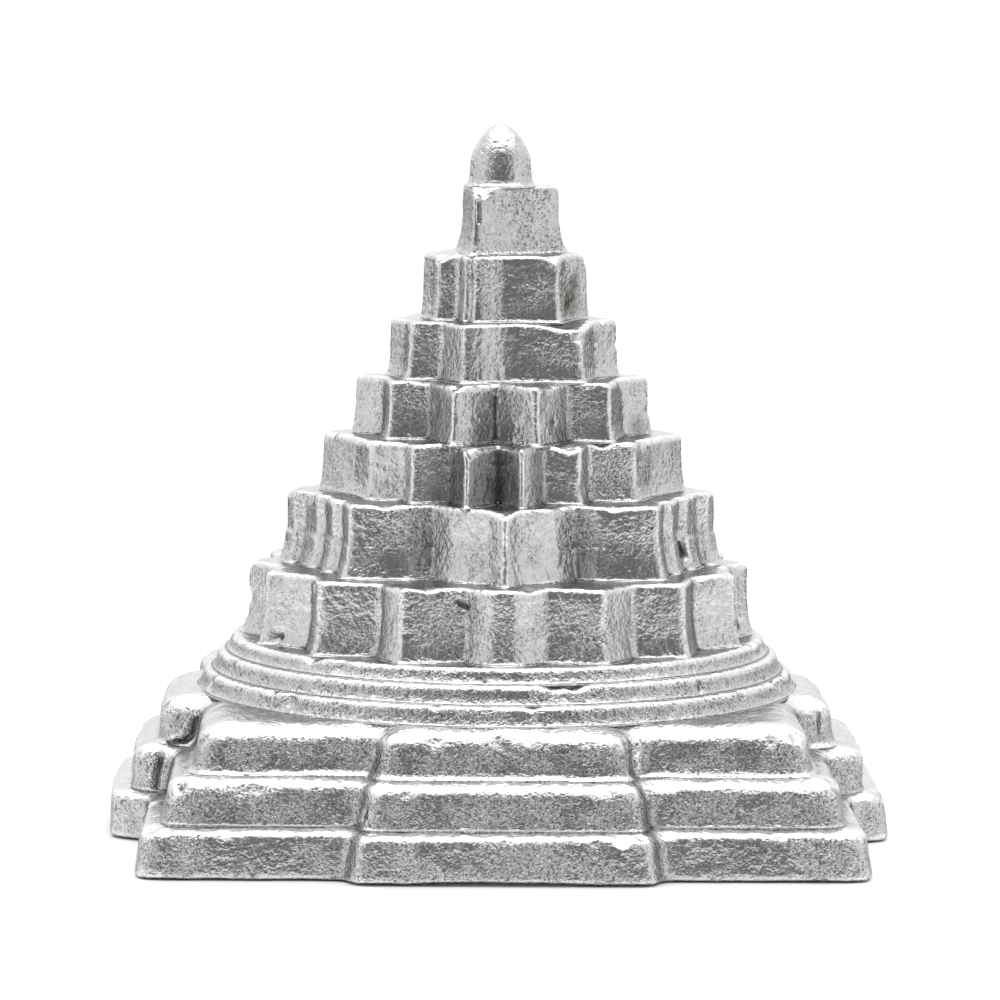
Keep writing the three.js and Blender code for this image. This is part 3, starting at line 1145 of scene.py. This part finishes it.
@dataclass
class SquareCourses(SubAssembly):
    """The three square courses, each with a gate in the middle of every side.

    Each set of three numbers runs from the ground up. Lengths are in millimetres.
    """

    spacing: float = 0.16
    corner_softness: float = 0.45
    edge_softness: tuple[float, float, float] = (0.22, 0.26, 0.28)
    chamfer: tuple[float, float, float] = (0.3, 0.55, 0.8)
    foot_fillet: tuple[float, float, float] = (-0.4, 0.12, 0.35)
    # How dark the painted shadow line along each course's foot is.
    painted_foot_shadow: tuple[float, float, float] = (0.7, 1.0, 0.3)
    growth: tuple[float, float, float] = (0.04, 0.1, 0.0)
    gate_lean: tuple[float, float, float] = (0.5, 0.6, 0.7)
    gate_reach: float = 12.0
    knocks: int = 30
    # Their ledges are whitened, partly as rubbing and partly as a painted highlight.
    skin: CastSkin = CastSkin(
        swell_depth=0.3, swell_size=3.2, ripple_depth=0.04, ripple_size=1.1, grain_depth=0.05, grit=0.6,
        rubbed=0.15,
    )
    # The lowest course is smoother and finer than the other two.
    lower_skin: CastSkin = CastSkin(
        swell_depth=0.22, swell_size=3.2, ripple_depth=0.04, ripple_size=1.1, grain_depth=0.05, grit=0.45,
        outward_share=0.2, rubbed=0.25,
    )

    def lower_marks(self) -> tuple[Mark, ...]:
        """The marks of the lowest course."""
        return (
            # The left gate is steeper and its top stands further out.
            Dent((-27.0, 0.0, 3.6), (2.0, self.gate_reach, 2.0), (-self.gate_lean[0], 0.0, 0.0)),
            # The front gate's foot doesn't quite touch the ground.
            Dent((0.0, -27.0, 0.0), (7.0, 1.2, 0.7), (0.0, 0.0, 0.18)),
        )

    def middle_marks(self) -> tuple[Mark, ...]:
        """The marks of the middle course."""
        return (
            # Torn metal beside the left gate and beside the front one, and a scratched ledge.
            Crack(((-24.0, -8.5, 6.0), (-24.1, -8.45, 4.8), (-24.3, -8.6, 3.7)), 0.28, 0.4),
            Crack(((-10.4, -24.7, 5.9), (-9.7, -24.5, 5.3), (-9.6, -24.3, 4.3)), 0.24, 0.35),
            Crack(((14.3, -22.7, 6.5), (15.0, -22.5, 6.6), (15.8, -22.8, 6.5)), 0.12, 0.14),
            # Both side gates lean out.
            Dent((-25.9, 0.0, 5.6), (2.4, self.gate_reach, 2.6), (-self.gate_lean[1], 0.0, 0.0)),
            Dent((25.7, 0.0, 6.3), (2.0, self.gate_reach, 1.6), (0.45, 0.0, 0.0)),
        )

    def upper_marks(self) -> tuple[Mark, ...]:
        """The marks of the highest course."""
        return (
            # The hooked tear where the left gate meets the wall.
            Crack(
                ((-21.5, -8.0, 8.5), (-21.8, -8.1, 7.4), (-22.5, -7.9, 6.9), (-23.3, -7.7, 6.7)), 0.22, 0.55
            ),
            # A fine bent line down the right gate's wall.
            Crack(((22.6, -7.5, 9.6), (22.6, -7.3, 9.2), (22.7, -7.7, 7.5)), 0.1, 0.2),
            # A lump beside the front gate, and the torn fold on its other side.
            Dent((9.1, -21.2, 7.5), (0.5, 0.6, 0.9), (0.0, -0.5, 0.0)),
            Crack(((-10.6, -21.9, 7.2), (-9.8, -21.8, 7.7), (-9.1, -21.9, 8.4)), 0.22, 0.3),
            # The left gate and the corner behind it lean out.
            Dent((-23.8, 0.0, 8.8), (2.4, self.gate_reach, 3.2), (-self.gate_lean[2], 0.0, 0.0)),
            Dent((-21.4, 19.0, 9.0), (3.0, 7.0, 5.0), (-1.3, 0.0, 0.0)),
        )

    def courses(self) -> list[Course]:
        """Lays out the courses.

        Returns:
            The three courses from the ground up.
        """
        names = ("lower_square_course", "middle_square_course", "upper_square_course", "lower_round_step")
        skins = (replace(self.lower_skin, seed=1), replace(self.skin, seed=22), replace(self.skin, seed=3))
        marks = (self.lower_marks(), self.middle_marks(), self.upper_marks())
        return [
            Course(
                names[k], names[k + 1], skin=skins[k], spacing=self.spacing,
                corner_softness=self.corner_softness, edge_softness=self.edge_softness[k],
                chamfer=self.chamfer[k], foot_fillet=self.foot_fillet[k], painted_foot_shadow=self.painted_foot_shadow[k],
                growth=self.growth[k], sunk=0.1 if k else 0.0, knocks=self.knocks, marks=marks[k],
            )
            for k in range(3)
        ]


@dataclass
class RoundSteps(SubAssembly):
    """The three round steps, each turned from sixteen like parts."""

    growth: float = 0.06
    foot_fillet: float = 0.14
    # How dark the painted shadow line along each step's foot is.
    painted_foot_shadow: float = 1.1
    skin: CastSkin = CastSkin(grit=0.55, swell_depth=0.08, ripple_depth=0.06, pits_per_cm2=3.0, pit_depth=0.1)

    def courses(self) -> list[Course]:
        """Lays out the steps.

        Returns:
            The three steps from the ground up.
        """
        names = ("lower_round_step", "middle_round_step", "upper_round_step", "sixteen_petal_tier")
        marks: tuple[tuple[Mark, ...], ...] = (
            (Dent((21.2, -3.1, 10.7), (0.4, 0.6, 0.4), (-0.3, 0.0, -0.1)),),
            (Crack(((13.6, -14.8, 12.6), (13.7, -14.9, 11.6)), 0.12, 0.15),),
            (),
        )
        return [
            Course(
                names[k], names[k + 1], PlanForm.TURNED, replace(self.skin, seed=4 + k), growth=self.growth,
                foot_fillet=self.foot_fillet, painted_foot_shadow=self.painted_foot_shadow, marks=marks[k],
            )
            for k in range(3)
        ]


@dataclass
class PetalTiers(SubAssembly):
    """The tier of sixteen petals, and the tier of eight above it."""

    sixteen_growth: float = 0.14
    band_height: float = 2.2
    band_step: float = 0.09
    valley_reach: tuple[float, float, float] = (1.4, 1.4, 7.0)
    skin: CastSkin = CastSkin(swell_depth=0.16, swell_size=2.2, ripple_depth=0.05, ripple_size=0.9)

    def sixteen(self) -> Course:
        """The tier of sixteen petals."""
        return Course(
            "sixteen_petal_tier", "eight_petal_tier", PlanForm.SIXTEEN, replace(self.skin, seed=7),
            growth=self.sixteen_growth, knocks=26,
            rough=(
                Spot((-11.2, -11.8, 15.6), 2.0, 0.5), Spot((-3.6, -15.9, 17.4), 1.2, 0.6),
                Spot((-0.3, -17.4, 16.3), 1.2, 0.5), Spot((6.6, -16.2, 16.2), 1.6, 0.5),
                Spot((12.2, -11.4, 15.9), 1.5, 0.5),
            ),
            marks=(
                # Three valleys left of the middle lie closer to it than the pattern would have them.
                Dent((-9.05, -13.45, 16.3), self.valley_reach, (0.55, -0.15, 0.0)),
                Dent((-3.2, -15.86, 16.3), self.valley_reach, (0.55, 0.0, 0.0)),
                Dent((-13.5, -9.0, 16.3), self.valley_reach, (0.25, -0.4, 0.0)),
                # The front petal's tip is blunt.
                Dent((0.0, -18.1, 16.3), (0.6, 0.9, 7.0), (0.0, 0.35, 0.0)),
                # Chips, and a torn flake below the front petal's top.
                Dent((-13.1, -10.9, 18.2), (0.45, 0.45, 0.4), (0.3, 0.25, 0.0)),
                Dent((-15.8, -7.9, 14.4), (0.5, 0.5, 0.5), (0.3, 0.15, 0.0)),
                Crack(((-4.0, -15.9, 17.9), (-3.3, -15.9, 18.1), (-2.7, -16.2, 17.6)), 0.22, 0.3),
                Dent((17.5, -1.2, 14.4), (0.5, 0.6, 0.5), (-0.3, 0.0, 0.0)),
            ),
        )

    def eight(self) -> Course:
        """The tier of eight petals, whose wall has a slightly wider band along its foot."""
        return Course(
            "eight_petal_tier", "outer_star_tier", skin=replace(self.skin, seed=8),
            band_height=self.band_height, band_step=self.band_step, knocks=24,
            # Rough spots, darker with painted frost shade and pores, in the valleys on both sides of the
            # front petal, and two coarse faces.
            rough=(
                Spot((-5.9, -10.3, 22.2), 1.2, 1.3), Spot((5.2, -11.2, 22.4), 1.1, 1.2),
                Spot((-6.7, -10.6, 22.6), 1.7, 0.5), Spot((11.2, -8.0, 21.6), 1.8, 0.3),
            ),
            marks=(
                # A tear low on the right, and the front petal's tip, which droops.
                Crack(((12.5, -5.2, 21.3), (12.9, -4.9, 20.6), (13.1, -4.6, 19.9)), 0.28, 0.5),
                Dent((-0.2, -15.3, 24.0), (1.4, 1.1, 0.9), (0.0, 0.0, -0.45)),
            ),
        )

    def courses(self) -> list[Course]:
        """Lays out both tiers from the ground up."""
        return [self.sixteen(), self.eight()]


@dataclass
class StarTiers(SubAssembly):
    """The four pleated star tiers, each finer than the one below it.

    Each set of four numbers runs from the ground up. Lengths are in millimetres.
    """

    spacing: tuple[float, float, float, float] = (0.14, 0.14, 0.12, 0.1)
    knocks: tuple[int, int, int, int] = (22, 20, 18, 14)
    seeds: tuple[int, int, int, int] = (9, 21, 11, 12)
    skin: CastSkin = CastSkin(swell_depth=0.16, swell_size=2.2, ripple_depth=0.05, ripple_size=0.9)

    def star(self, k: int, node: str, carries: str) -> Course:
        """One tier without its marks.

        Args:
            k: The tier's place from the ground up, from 0.
            node: The name of the tier's solid.
            carries: The name of the solid that stands on it.

        Returns:
            The tier.
        """
        skin = replace(self.skin, seed=self.seeds[k])
        return Course(node, carries, skin=skin, spacing=self.spacing[k], knocks=self.knocks[k])

    def outer(self) -> Course:
        """The lowest star tier, with a coarse face right of the middle."""
        return replace(
            self.star(0, "outer_star_tier", "second_star_tier"),
            rough=(Spot((7.9, -7.8, 27.3), 1.3, 0.8), Spot((7.9, -7.8, 25.6), 1.3, 0.8)),
        )

    def second(self) -> Course:
        """The second star tier, with a fine crease down its front and stained feet."""
        return replace(
            self.star(1, "second_star_tier", "third_star_tier"),
            marks=(
                Dent((-4.7, -6.9, 30.6), (0.4, 0.4, 0.4), (0.0, 0.35, 0.0)),
                Dent((3.5, -8.5, 29.8), (0.35, 0.4, 0.35), (0.0, 0.3, 0.0)),
                Crack(((-0.56, -7.95, 31.6), (-0.54, -8.15, 28.5)), 0.08, 0.16),
            ),
            stains=(
                Spot((4.1, -7.9, 28.6), 0.9, 1.2), Spot((9.8, -1.3, 28.7), 0.9, 1.2),
                Spot((-2.2, -8.6, 28.8), 0.7, 1.2),
            ),
            rough=(
                Spot((-6.4, -6.3, 30.4), 1.6), Spot((5.6, -6.3, 30.2), 1.6),
                Spot((1.5, -8.3, 31.3), 0.9, 0.4),
            ),
        )

    def third(self) -> Course:
        """The third star tier, whose front edge droops to the right and whose front face is hollow."""
        return replace(
            self.star(2, "third_star_tier", "inner_star_tier"),
            marks=(
                Dent((0.2, -6.9, 34.8), (1.5, 1.0, 6.0), (0.0, 0.38, 0.0)),
                Dent((5.2, -6.2, 36.3), (2.2, 2.2, 1.0), (0.0, 0.0, -0.5)),
                Crack(((6.66, -2.47, 34.75), (6.66, -2.47, 34.45)), 0.16, 0.3),
            ),
            rough=(
                Spot((3.2, -5.6, 34.7), 1.3), Spot((-5.0, -5.0, 34.5), 1.3),
                Spot((-2.9, -7.6, 33.6), 0.6),
            ),
        )

    def inner(self) -> Course:
        """The highest star tier, with a stain on its right face and a hollow front face."""
        return replace(
            self.star(3, "inner_star_tier", "summit_triangle"),
            marks=(Dent((-0.1, -5.05, 39.0), (0.95, 0.8, 6.0), (0.0, 0.28, 0.0)),),
            rough=(
                Spot((2.8, -4.0, 39.2), 1.4), Spot((-4.4, -3.6, 39.0), 1.2), Spot((-1.9, -5.1, 40.3), 0.9),
            ),
            stains=(Spot((4.85, -2.2, 37.8), 1.0, 2.4), Spot((5.2, -1.6, 39.2), 0.7, 1.4)),
        )

    def courses(self) -> list[Course]:
        """Lays out the four tiers from the ground up."""
        return [self.outer(), self.second(), self.third(), self.inner()]


@dataclass
class Summit(SubAssembly):
    """The triangle and the domed tip on it."""

    triangle_spacing: float = 0.09
    triangle_corner: float = 0.18
    tip_spacing: float = 0.07
    foot_fillets: tuple[float, float] = (0.15, 0.2)
    triangle_skin: CastSkin = CastSkin(
        swell_depth=0.16, swell_size=2.2, ripple_depth=0.05, ripple_size=0.9, grit=0.35, seed=13,
    )
    tip_skin: CastSkin = CastSkin(
        swell_depth=0.08, swell_size=2.2, ripple_depth=0.05, ripple_size=0.9, outward_share=0.3, seed=14,
    )

    def triangle(self) -> Course:
        """The triangle, chipped at its front corner and creased below the chip."""
        return Course(
            "summit_triangle", "domed_tip", skin=self.triangle_skin, spacing=self.triangle_spacing,
            foot_fillet=self.foot_fillets[0], corner_softness=self.triangle_corner, knocks=6,
            marks=(
                Dent((-1.4, -3.7, 45.9), (0.5, 0.5, 0.5), (0.2, 0.3, -0.3)),
                Crack(((-1.73, -3.9, 45.1), (-1.72, -3.93, 43.6)), 0.12, 0.25),
            ),
            rough=(Spot((-2.7, 1.0, 44.0), 2.6, 0.35),),
        )

    def tip(self) -> DomedTip:
        """The domed tip."""
        return DomedTip(
            "domed_tip", skin=self.tip_skin, spacing=self.tip_spacing, foot_fillet=self.foot_fillets[1],
            knocks=0,
        )

    def courses(self) -> list[Course]:
        """Lays out the triangle and the tip on it."""
        return [self.triangle(), self.tip()]


@dataclass(frozen=True)
class MattWhitePaper:
    """Uncoated white paper, as rolled. It gives the eye an even white without any gloss."""

    name: str = "matt_white_paper"
    white: str = "#F4F4F4"
    roughness: float = 0.9

    def material(self) -> bpy.types.Material:
        """Builds the material.

        Returns:
            The material.
        """
        material = bpy.data.materials.new(self.name)
        material.use_nodes = True
        shader = material.node_tree.nodes["Principled BSDF"]
        shader.inputs["Base Color"].default_value = linear(self.white)
        shader.inputs["Roughness"].default_value = self.roughness
        return material


@dataclass(frozen=True)
class Studio:
    """Pale floor, soft light from above and both sides, and the camera. Lengths in millimetres.

    A light's span gives the two ends of what it fades over, as the share of a direction that
    points that way.
    """

    paper: MattWhitePaper = MattWhitePaper()
    camera_place: tuple[float, float, float] = (-7.12, -365.18, 62.32)
    camera_bearing: float = 0.0195
    camera_pitch: float = 0.1062
    camera_roll: float = 0.0077
    lens: float = 183.1
    floor_radius: float = 110.0
    floor_middle: float = 40.0
    seen_light: float = 1.05
    side_light: float = 0.9
    back_light: float = 2.0
    back_span: tuple[float, float] = (0.5, 0.95)
    roof_light: float = 1.12
    roof_span: tuple[float, float] = (0.6, 0.9)
    low_light: float = 0.12
    low_span: tuple[float, float] = (-0.1, 0.05)
    low_back_span: tuple[float, float] = (0.3, 0.7)
    opening_way: tuple[float, float, float] = (0.0, -0.93, 0.37)
    opening_span: tuple[float, float] = (0.42, 0.92)
    opening_light: float = 0.19
    lamp_place: tuple[float, float, float] = (0.0, 50.0, 550.0)
    lamp_size: float = 500.0
    lamp_watts: float = 0.5

    def camera(self) -> None:
        """Stands the camera where the photograph was taken from."""
        bearing, pitch, roll = self.camera_bearing, self.camera_pitch, self.camera_roll
        level = math.cos(pitch)
        ahead = Vector((math.sin(bearing) * level, math.cos(bearing) * level, -math.sin(pitch)))
        right = Vector((math.cos(bearing), -math.sin(bearing), 0))
        up = right.cross(ahead)
        right, up = right * math.cos(roll) + up * math.sin(roll), up * math.cos(roll) - right * math.sin(roll)
        data = bpy.data.cameras.new("camera")
        data.lens, data.sensor_width = self.lens, 36.0
        data.clip_start, data.clip_end = 0.01, 10.0
        camera = bpy.data.objects.new("camera", data)
        turn = Matrix((right, up, -ahead)).transposed().to_4x4()
        camera.matrix_world = Matrix.Translation(Vector(self.camera_place) * MM) @ turn
        bpy.context.scene.collection.objects.link(camera)
        bpy.context.scene.camera = camera

    def floor(self) -> None:
        """Lays the round pale floor."""
        turn = np.linspace(0, 2 * math.pi, 96, endpoint=False)
        reach, middle = self.floor_radius * MM, self.floor_middle * MM
        rim = [(reach * math.cos(a), middle + reach * math.sin(a), 0.0) for a in turn]
        mesh = bpy.data.meshes.new("floor")
        mesh.from_pydata(rim, [], [list(range(len(rim)))])
        floor = bpy.data.objects.new("floor", mesh)
        mesh.materials.append(self.paper.material())
        bpy.context.scene.collection.objects.link(floor)

    def world(self) -> None:
        """Surrounds the object with a white tent that has a dark opening on the camera's side."""
        world = bpy.data.worlds.new("white_tent")
        world.use_nodes = True
        tree = world.node_tree
        tree.nodes.clear()
        way = add_node(tree, "ShaderNodeTexCoord").outputs["Generated"]
        lit = add_node(
            tree, "ShaderNodeMath", {"operation": "ADD"},
            {0: self._walls(tree, way), 1: self._roof(tree, way)},
        ).outputs[0]
        seen = add_node(tree, "ShaderNodeLightPath").outputs["Is Camera Ray"]
        strength = add_node(tree, "ShaderNodeMix", None, {0: seen, 2: lit, 3: self.seen_light}).outputs[0]
        white = add_node(
            tree, "ShaderNodeBackground", None, {"Color": (1.0, 1.0, 1.0, 1.0), "Strength": strength}
        )
        add_node(tree, "ShaderNodeOutputWorld", None, {"Surface": white.outputs[0]})
        bpy.context.scene.world = world

    def _walls(self, tree: bpy.types.NodeTree, way: bpy.types.NodeSocket) -> bpy.types.NodeSocket:
        """Lights the tent's walls: brightest behind the object, dim low down there and in the opening.

        Args:
            tree: The world's tree.
            way: The direction that is looked in.

        Returns:
            The strength of the light from that direction.
        """
        backward = add_node(
            tree, "ShaderNodeVectorMath", {"operation": "DOT_PRODUCT"}, {0: way, 1: (0.0, 1.0, 0.0)}
        ).outputs["Value"]
        upward = add_node(
            tree, "ShaderNodeVectorMath", {"operation": "DOT_PRODUCT"}, {0: way, 1: (0.0, 0.0, 1.0)}
        ).outputs["Value"]
        to_opening = add_node(
            tree, "ShaderNodeVectorMath", {"operation": "DOT_PRODUCT"}, {0: way, 1: self.opening_way}
        ).outputs["Value"]
        wall = add_node(
            tree, "ShaderNodeMapRange", SMOOTH,
            {
                "Value": backward, "From Min": self.back_span[0], "From Max": self.back_span[1],
                "To Min": self.side_light, "To Max": self.back_light,
            },
        ).outputs["Result"]
        low = add_node(
            tree, "ShaderNodeMapRange", SMOOTH,
            {
                "Value": upward, "From Min": self.low_span[0], "From Max": self.low_span[1],
                "To Min": 1 - self.low_light, "To Max": 0.0,
            },
        ).outputs["Result"]
        behind = add_node(
            tree, "ShaderNodeMapRange", SMOOTH,
            {"Value": backward, "From Min": self.low_back_span[0], "From Max": self.low_back_span[1]},
        ).outputs["Result"]
        lost = add_node(tree, "ShaderNodeMath", {"operation": "MULTIPLY"}, {0: low, 1: behind}).outputs[0]
        kept = add_node(tree, "ShaderNodeMath", {"operation": "SUBTRACT"}, {0: 1.0, 1: lost}).outputs[0]
        wall = add_node(tree, "ShaderNodeMath", {"operation": "MULTIPLY"}, {0: wall, 1: kept}).outputs[0]
        opening = add_node(
            tree, "ShaderNodeMapRange", SMOOTH,
            {
                "Value": to_opening, "From Min": self.opening_span[0], "From Max": self.opening_span[1],
                "To Min": 1.0, "To Max": self.opening_light,
            },
        ).outputs["Result"]
        return add_node(tree, "ShaderNodeMath", {"operation": "MULTIPLY"}, {0: wall, 1: opening}).outputs[0]

    def _roof(self, tree: bpy.types.NodeTree, way: bpy.types.NodeSocket) -> bpy.types.NodeSocket:
        """Lights the tent's roof.

        Args:
            tree: The world's tree.
            way: The direction that is looked in.

        Returns:
            The strength of the light from that direction.
        """
        upward = add_node(
            tree, "ShaderNodeVectorMath", {"operation": "DOT_PRODUCT"}, {0: way, 1: (0.0, 0.0, 1.0)}
        ).outputs["Value"]
        return add_node(
            tree, "ShaderNodeMapRange", SMOOTH,
            {
                "Value": upward, "From Min": self.roof_span[0], "From Max": self.roof_span[1],
                "To Min": 0.0, "To Max": self.roof_light,
            },
        ).outputs["Result"]

    def light(self) -> None:
        """Hangs one large soft light above the object."""
        data = bpy.data.lights.new("overhead", "AREA")
        data.shape, data.size, data.energy = "DISK", self.lamp_size * MM, self.lamp_watts
        lamp = bpy.data.objects.new("overhead", data)
        lamp.location = Vector(self.lamp_place) * MM
        bpy.context.scene.collection.objects.link(lamp)

    def build(self) -> None:
        """Builds the studio."""
        self.camera()
        self.floor()
        self.world()
        self.light()
        bpy.context.scene.view_settings.view_transform = "Standard"


def main() -> None:
    """Builds the yantra from the ground up and then its studio."""
    logging.basicConfig(level=logging.INFO, format="%(message)s")
    # As-cast white metal: a hard bright shine, broken up by frost and pores, with painted shade in its
    # hollows.
    metal = CastWhiteMetal().material()
    skin_tree, ring_tree = SkinTree(metal), RingTree(metal)
    for part in (SquareCourses(), RoundSteps(), PetalTiers(), StarTiers(), Summit()):
        for piece in part.build(skin_tree, ring_tree):
            log.info("%s: %s, %d faces", type(part).__name__, piece.name, len(piece.data.polygons))
    Studio().build()


if __name__ == "__main__":
    main()
